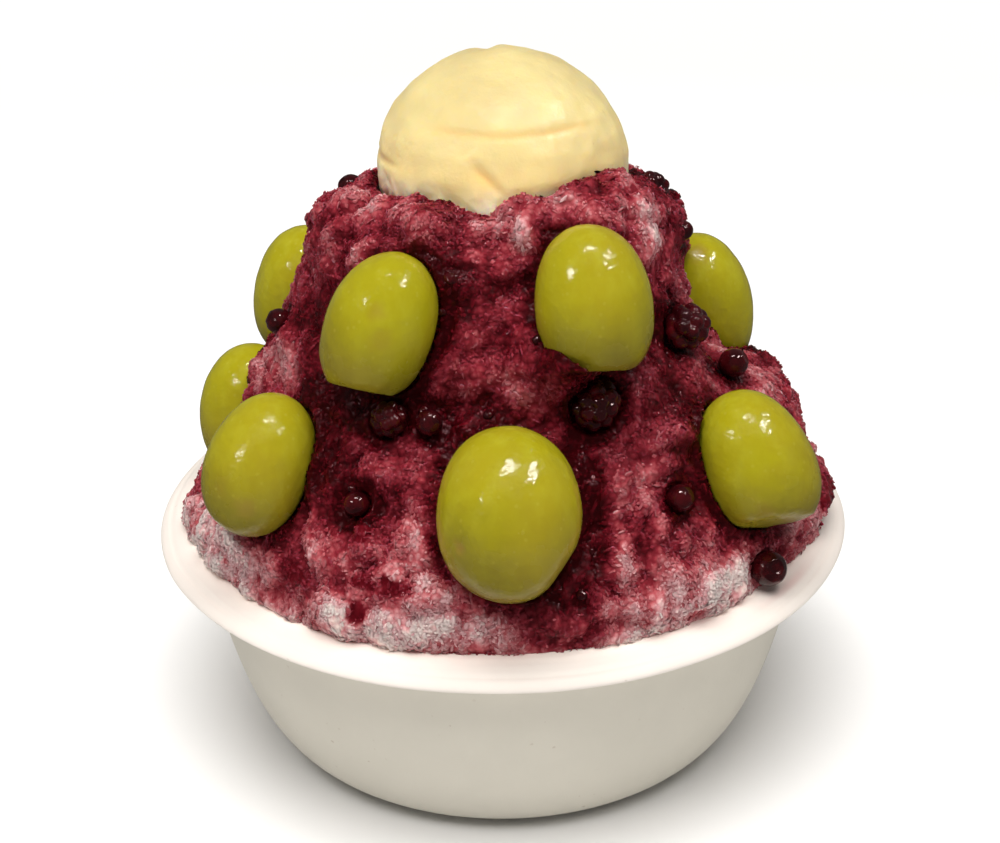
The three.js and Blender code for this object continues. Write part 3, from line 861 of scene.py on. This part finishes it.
def ice_finish(settings, name, coarse):
    """Ice coloured by how much syrup its layer says it holds, and by the painted shade carried in
    that layer.
    """
    gloss = 0.14 if coarse else 0.18
    finish = Finish(name, Specular_IOR_Level=gloss, Specular_Tint=(1, 0.55, 0.6))
    stain = finish.layer("stain")
    if coarse:
        # The fine noise varies the syrup; the grain cells are darker at their edges: painted shade
        # in the creases between grains.
        grains = finish.cells(0.0013)
        fine = finish.noise(0.0013, 4, 0.6, stretch=(1, 1, 0.5))
        for speckle in (fine, grains):
            stain = finish.math("ADD", stain, finish.math("MULTIPLY", speckle, 0.3))
        stain = finish.math("SUBTRACT", stain, 0.27, True)
    tones = ("white", "pink", "rose", "red", "dark", "black")
    base = finish.ramp(stain, [(i / 5, getattr(settings, tone)) for i, tone in enumerate(tones)])
    wet = finish.layer("wet")
    finish.set(Roughness=finish.ramp(wet, [(0.1, 0.55), (0.8, 0.08)]), Subsurface_Weight=0.6)
    finish.set(Subsurface_Radius=(1, 0.85, 0.85), Subsurface_Scale=1.1 * MM)
    if coarse:
        dry = finish.ramp(wet, [(0, 1), (1, 0.3)])
        rough = finish.bump(finish.noise(0.0008, 3, 0.6), 0.2, dry)
        finish.set(Normal=finish.bump(finish.math("SUBTRACT", 1, grains), 0.45, dry, rough))
        pool = finish.math("MULTIPLY", finish.layer("pool"), 0.7)
        base = finish.mix(pool, base, settings.syrup)
    finish.set(Base_Color=base)
    return finish.material


def stain_at(points, near, clod):
    """How much syrup the ice holds at each point, 0 for white ice and 1 for black syrup.

    It thins out towards the rim, runs off the clods into the creases between them, and gathers
    round the toppings; the darker creases and the ring round the toppings are also painted shade,
    and the paler foot is partly painted light. It is spread more evenly halfway up the heap."""
    bearing, height = bearing_and_height(points)
    stain = 0.47 + 0.2 * ease(3, 26, height) - 0.015 * ease(56, 68, height)
    for *spot, more in [*SYRUP_AND_SHADE_PATCHES, *back_patches()]:
        stain += more * patch(bearing, height, spot)
    calm = 1 - 0.45 * bell(height - 44, 21)
    stain += calm * (0.24 * lumps(points, 13, 1) + 0.22 * lumps(points, 5.5, 2))
    # Darker in the creases between clods: syrup runs there, and the darkness is also painted shade.
    stain += calm * (0.25 * lumps(points * (1, 1, 0.6), 2.2, 3) + 0.22 * (0.45 - clod))
    # Paler at the foot: partly thinner syrup, partly painted light against the shade where the heap
    # meets the lip.
    stain -= 0.12 * (1 - ease(0.5, 3.5, height))
    # Syrup gathers round the toppings, and the dark ring is also their painted contact shade.
    stain += near * (0.29 + 0.28 * lumps(points, 9, 4))
    return np.clip(stain, 0.02, 0.99)


def wet_at(points, stain):
    """How far each point lies in a pool of syrup, and how wet it is."""
    bearing, height = bearing_and_height(points)
    ragged = 1 + 0.9 * lumps(points, 2.8, 6)
    pool = np.zeros(len(points))
    for spot in SYRUP_POOLS:
        pool = np.maximum(pool, ease(0.3, 0.62, patch(bearing, height, spot) * ragged))
    return pool, np.maximum(pool, 0.6 * ease(0.8, 0.95, stain))


class DESSERT_OT_ice(bpy.types.Operator):
    """Roughens the heap of ice and soaks it with syrup"""

    bl_idname = "dessert.ice"
    bl_label = "Heap of ice"

    def execute(self, context):
        settings = context.scene.dessert_ice
        bm = merged_copy("shaved_ice")
        cut = dict(plane_co=(0, 0, RIM - HEAP_DEPTH * MM), plane_no=(0, 0, -1), clear_outer=True)
        bmesh.ops.bisect_plane(bm, geom=[*bm.verts, *bm.edges, *bm.faces], dist=0.001 * MM, **cut)
        bmesh.ops.holes_fill(bm, edges=[edge for edge in bm.edges if edge.is_boundary])
        mesh = even_skin(bm, settings.grid, HEAP_SMOOTHING)
        bm = bmesh_of(mesh)
        # The flat underside, hidden in the bowl, needs one face only.
        low = RIM - (HEAP_DEPTH - 1) * MM
        flat = [face for face in bm.faces if face.normal.z < -0.98]
        under = [face for face in flat if face.calc_center_median().z < low]
        bmesh.ops.dissolve_faces(bm, faces=under)
        bm.to_mesh(mesh)
        bm.free()
        points, normals = points_of(mesh), normals_of(mesh)
        bearing, height = bearing_and_height(points)
        toppings = Toppings()
        gap = toppings.distance(points) / MM
        near = 1 - ease(0.6, 4, gap)
        clod = clods(points, 7, 12)
        stain = stain_at(points, near, clod)
        pool, wet = wet_at(points, stain)
        out = settings.clump * lumps(points, 8, 11)
        out += settings.clod * (clod - 0.45)
        out += settings.grain * (clods(points * (1, 1, 0.8), 2.6, 13) - 0.45)
        out += settings.grain * 0.5 * lumps(points, 1.6, 14)
        out += (0.55 - stain) * 1.8 * MM
        out *= (1 - 0.75 * pool) * (0.3 + 0.7 * ease(0.3, 2.2, gap)) * ease(-1, 2.5, height)
        out += settings.foot * bell(height - 0.5, 2)
        points += normals * out[:, None]
        for *spot, push in DRIFTS:
            points += np.outer(patch(bearing, height, spot), push) * MM
        set_points(mesh, points)
        set_layers(mesh, stain=stain + (POOL_STAIN - stain) * pool, wet=wet, pool=pool)
        add_piece("ice_heap", mesh, ice_finish(settings, "stained_ice", True), "ice", "shaved_ice")
        return {"FINISHED"}


# ---- shavings

# Each kind's points and triangles at unit size, long in X and thin in Z.
GRAIN = (
    [(-0.5, 0, 0), (0.5, 0, 0), (0, 0.5, 0), (0.05, -0.5, 0), (-0.05, 0, 0.5), (0, 0, -0.5)],
    [(0, 3, 4), (3, 1, 4), (1, 2, 4), (2, 0, 4), (3, 0, 5), (1, 3, 5), (2, 1, 5), (0, 2, 5)],
)
SHAVING = (
    [(-0.5, 0, 0), (-0.2, 0.5, 0), (-0.24, -0.45, 0), (-0.2, 0, 0.5)]
    + [(0.22, 0.45, 0), (0.18, -0.5, 0), (0.2, 0, 0.5), (0.5, 0.05, 0)],
    [(0, 2, 3), (0, 3, 1), (0, 1, 2), (2, 5, 6), (2, 6, 3), (3, 6, 4)]
    + [(3, 4, 1), (1, 4, 5), (1, 5, 2), (7, 6, 5), (7, 4, 6), (7, 5, 4)],
)
# Each kind's name and shape, shortest and longest, narrowest and widest, thickness, curl, the
# share that points downhill, and how far it lifts off the heap. Millimetres and radians.
LOOSE_ICE = [
    ("shavings", SHAVING, (1.1, 2.1), (0.5, 0.95), 0.35, 0.3, 0.4, 0.25),
    ("needles", GRAIN, (1, 1.9), (0.32, 0.5), 0.35, 0, 0.6, 0.3),
    ("grains", GRAIN, (0.7, 1.3), (0.6, 1), 0.55, 0, 0.1, 0.8),
    ("crumbs", GRAIN, (0.4, 0.8), (0.35, 0.7), 0.45, 0, 0, 1.2),
]
PROUD = 0.12 * MM  # how far out loose ice lies
CLEAR = 0.15 * MM  # how far it keeps from the toppings
TINT = 0.045  # spread of the syrup in loose ice
# How much a flake is shaded like the surface it lies on: wet ice lets light through.
SOFTNESS = 0.78


class Surface:
    """The heap's surface, for scattering things on it."""

    def __init__(self):
        mesh = bpy.data.objects["ice_heap"].data
        mesh.calc_loop_triangles()
        self.corners = read(mesh.loop_triangles, "vertices", 3).astype(int)
        self.points, self.normals = points_of(mesh), normals_of(mesh)
        self.toppings = Toppings()
        a, b, c = (self.points[self.corners[:, i]] for i in range(3))
        self.area = np.linalg.norm(np.cross(b - a, c - a), axis=1) / 2
        self.middle = (a + b + c) / 3
        _, height = bearing_and_height(self.middle)
        self.area *= height > -1.2
        self.stain = layer_of(mesh, "stain")[self.corners].mean(axis=1)
        self.pool = layer_of(mesh, "pool")[self.corners].mean(axis=1)

    def scatter(self, rng, number, liking):
        """Points, outward directions and syrup at places drawn by chance."""
        weight = self.area * liking
        faces = rng.choice(len(weight), number, p=weight / weight.sum())
        share = rng.dirichlet((1, 1, 1), number)
        at = self.corners[faces]
        points = np.einsum("ij,ijk->ik", share, self.points[at])
        normals = unit(np.einsum("ij,ijk->ik", share, self.normals[at]))
        clear = self.toppings.distance(points) > CLEAR
        return points[clear], normals[clear], self.stain[faces][clear]


def unit(vectors):
    return vectors / np.maximum(np.linalg.norm(vectors, axis=1, keepdims=True), 1e-9)


def scattered_mesh(template, points, normals, sizes, curl, rng, streaky, lift):
    """Copies of a small closed shape, each lying its own way on the surface."""
    shape, faces = map(np.array, template)
    number = len(points)
    down = unit(np.cross(normals, np.cross(normals, (0, 0, 1))))
    aside = np.cross(normals, down)
    downhill = rng.random(number) < streaky
    turn = np.where(downhill, rng.normal(0, 0.45, number), rng.uniform(-3.2, 3.2, number))
    length_way = down * np.cos(turn)[:, None] + aside * np.sin(turn)[:, None]
    rise = rng.uniform(0, lift, number) * rng.choice((-1, 1), number)
    length_way = length_way * np.cos(rise)[:, None] + normals * np.sin(rise)[:, None]
    roll = rng.normal(0, 0.6, number)
    side_way = unit(np.cross(normals, length_way))
    up_way = np.cross(length_way, side_way)
    rolled = side_way * np.cos(roll)[:, None] + up_way * np.sin(roll)[:, None]
    up_way = np.cross(length_way, rolled)
    local = shape[None] * sizes[:, None, :]
    local[..., 2] += (curl * sizes[:, 0])[:, None] * (0.25 - shape[None, :, 0] ** 2)
    ways = np.stack([length_way, rolled, up_way], axis=1)
    placed = np.einsum("nkj,njc->nkc", local, ways) + points[:, None]
    corners = (faces[None] + (np.arange(number) * len(shape))[:, None, None]).reshape(-1, 3)
    mesh = bpy.data.meshes.new("scattered")
    mesh.from_pydata(placed.reshape(-1, 3).tolist(), [], corners.tolist())
    mesh.validate()
    mesh.shade_smooth()
    own = normals_of(mesh)
    soft = unit(own * (1 - SOFTNESS) + np.repeat(normals, len(shape), axis=0) * SOFTNESS)
    mesh.normals_split_custom_set_from_vertices(soft)
    return mesh


class DESSERT_OT_shavings(bpy.types.Operator):
    """Scatters loose shavings, needles and grains of ice over the heap"""

    bl_idname = "dessert.shavings"
    bl_label = "Loose ice"

    def execute(self, context):
        settings = context.scene.dessert_shavings
        surface = Surface()
        finish = ice_finish(context.scene.dessert_ice, "loose_ice", False)
        dry = (1 - 0.65 * surface.pool) * np.clip(1.35 - surface.stain, 0.35, 1)
        dry *= 0.25 + 0.75 * ease(-0.3, 0.25, lumps(surface.middle, 5, 51))
        for index, kind in enumerate(LOOSE_ICE):
            name, shape, long, wide, thick, curl, streaky, lift = kind
            rng = np.random.default_rng(LOOSE_ICE_SEED + index)
            points, normals, stain = surface.scatter(rng, getattr(settings, name), dry)
            left, corners = len(points), len(shape[0])
            lengths = rng.uniform(*long, left) * MM
            widths = rng.uniform(*wide, left) * MM
            sizes = np.stack([lengths, widths, np.full(left, thick * MM)], axis=1)
            bend = curl * rng.uniform(0.2, 1, left)
            points = points + normals * PROUD
            mesh = scattered_mesh(shape, points, normals, sizes, bend, rng, streaky, lift)
            tint = np.repeat(stain - 0.01 + rng.normal(0, TINT, left), corners)
            tint = np.clip(tint + rng.normal(0, TINT, len(tint)), 0, 0.97)
            wet = rng.uniform(0, 0.5, left) + 0.4 * ease(0.6, 0.85, stain)
            set_layers(mesh, stain=tint, wet=np.repeat(wet, corners))
            add_piece("ice_" + name, mesh, finish, "ice")
        return {"FINISHED"}


class DESSERT_OT_compote(bpy.types.Operator):
    """Drops scraps of stewed fruit into the darkest syrup"""

    bl_idname = "dessert.compote"
    bl_label = "Compote"

    def execute(self, context):
        number = context.scene.dessert_shavings.compote
        surface = Surface()
        rng = np.random.default_rng(COMPOTE_SEED)
        points, normals, _ = surface.scatter(rng, number, ease(0.82, 0.97, surface.stain))
        bm = bmesh.new()
        for point, normal in zip(points, normals):
            size = rng.uniform(0.4, 1.1) * MM
            squash = Matrix.Diagonal((size * rng.uniform(0.8, 1.5), size, size * 0.75, 1))
            turned = Vector(normal.tolist()).to_track_quat("Z", "Y").to_matrix().to_4x4()
            spun = Matrix.Rotation(rng.uniform(0, math.pi), 4, "Z")
            ball(bm, Matrix.Translation(point + normal * size * 0.15) @ turned @ spun @ squash)
        mesh = mesh_from(bm)
        points, normals = points_of(mesh), normals_of(mesh)
        set_points(mesh, points + normals * (0.35 * MM * lumps(points, 1, 31))[:, None])
        add_piece("compote_scraps", mesh, bpy.data.materials["berry_skin"], "berry")
        return {"FINISHED"}


# ---- studio


def area_light(name, place, aim, size, power, warmth):
    data = bpy.data.lights.new(name, "AREA")
    data.shape = "RECTANGLE"
    data.size, data.size_y = size
    data.energy = power
    data.color = warmth
    lamp = put_in_scene(name, data)
    lamp.location = place
    lamp.rotation_euler = (Vector(aim) - Vector(place)).to_track_quat("-Z", "Y").to_euler()
    return lamp


SOFTBOX_PLACE, SOFTBOX_SIZE = (-0.08, -0.6, 2), (1.9, 1.7)
# Ceiling lamps, which show in reflections only: place and length in metres.
LAMPS = [((0.03, -0.2, 1.1), 0.34), ((0.68, -0.2, 1.1), 0.62), ((-0.85, -0.7, 0.9), 0.2)]
LAMP_WIDTH = 0.02
WARM, WARMER, WARMEST = (1, 0.99, 0.97), (1, 0.99, 0.96), (1, 0.98, 0.95)  # room, lamps, softbox
FLOOR_SIZE = 14
FLOOR_GLOW = 2.5  # metres out to where the floor glows at full strength: painted light that keeps the far floor pale
FOCAL_LENGTH = 2.056  # of the picture's width
CAMERA_SHIFT = -0.2 * MM  # the camera stands so far to the side of the middle


class DESSERT_OT_studio(bpy.types.Operator):
    """Lays the floor, hangs the lights and sets the camera"""

    bl_idname = "dessert.studio"
    bl_label = "Studio"

    def execute(self, context):
        settings = context.scene.dessert_studio
        bm = bmesh.new()
        bmesh.ops.create_grid(bm, x_segments=8, y_segments=8, size=FLOOR_SIZE)
        floor = put_in_scene("floor", mesh_from(bm, "floor"))
        finish = Finish("pale_floor", Base_Color=settings.floor, Roughness=0.9)
        finish.set(Normal=finish.bump(finish.noise(0.02, 2), 0.05, 0.2))
        # The floor glows more further out: painted light that keeps the far floor pale.
        far = finish.ramp(finish.distance(1 / FLOOR_GLOW), [(0.2, 0), (0.8, 1)])
        finish.set(Emission_Color=settings.floor, Emission_Strength=far)
        floor.data.materials.append(finish.material)
        floor.visible_glossy = False
        floor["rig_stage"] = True
        world = bpy.data.worlds.new("studio")
        world.use_nodes = True
        background = world.node_tree.nodes["Background"]
        background.inputs["Color"].default_value = (*WARM, 1)
        background.inputs["Strength"].default_value = settings.world
        context.scene.world = world
        target = (0, 0, settings.focus)
        power = settings.softbox
        softbox = area_light("softbox", SOFTBOX_PLACE, target, SOFTBOX_SIZE, power, WARMEST)
        softbox.visible_glossy = False
        for index, (place, long) in enumerate(LAMPS):
            size, power = (long, LAMP_WIDTH), settings.lamps * long
            lamp = area_light(f"ceiling_lamp_{index}", place, target, size, power, WARMER)
            lamp.visible_diffuse = False
        camera = put_in_scene("camera", bpy.data.cameras.new("camera"))
        camera.data.lens = FOCAL_LENGTH * camera.data.sensor_width
        camera.data.clip_start = 0.01
        middle = Matrix.Translation((CAMERA_SHIFT, 0, settings.focus))
        tilt = Matrix.Rotation(math.pi / 2 - settings.elevation, 4, "X")
        roll = Matrix.Rotation(settings.roll, 4, "Z")
        camera.matrix_world = middle @ tilt @ roll @ Matrix.Translation((0, 0, settings.distance))
        context.scene.camera = camera
        context.scene.view_settings.view_transform = "Standard"
        return {"FINISHED"}


class DESSERT_PT_panel(bpy.types.Panel):
    """Lists the dessert's pieces in the order they are made"""

    bl_label = "Shaved ice dessert"
    bl_idname = "DESSERT_PT_panel"
    bl_space_type = "VIEW_3D"
    bl_region_type = "UI"
    bl_category = "Dessert"

    def draw(self, context):
        for section, settings, *operators in PIECES:
            box = self.layout.box()
            for name in settings.__annotations__:
                box.prop(getattr(context.scene, section), name)
            for operator in operators:
                box.operator(operator.bl_idname)


# Each section of settings and the operators that read it, in the order they run.
PIECES = [
    ("dessert_bowl", BowlSettings, DESSERT_OT_bowl),
    ("dessert_ice_cream", IceCreamSettings, DESSERT_OT_ice_cream),
    ("dessert_grapes", GrapeSettings, DESSERT_OT_grapes),
    ("dessert_berries", BerrySettings, DESSERT_OT_berries),
    ("dessert_ice", IceSettings, DESSERT_OT_ice),
    ("dessert_shavings", ShavingSettings, DESSERT_OT_shavings, DESSERT_OT_compote),
    ("dessert_studio", StudioSettings, DESSERT_OT_studio),
]
CLASSES = [*(made for _, *classes in PIECES for made in classes), DESSERT_PT_panel]


def register():
    for made in CLASSES:
        bpy.utils.register_class(made)
    for section, settings, *_ in PIECES:
        setattr(bpy.types.Scene, section, bpy.props.PointerProperty(type=settings))


def unregister():
    for section, *_ in PIECES:
        delattr(bpy.types.Scene, section)
    for made in reversed(CLASSES):
        bpy.utils.unregister_class(made)


def main():
    register()
    for _, _, *operators in PIECES:
        for operator in operators:
            getattr(bpy.ops.dessert, operator.bl_idname.removeprefix("dessert."))()


if __name__ == "__main__":
    main()
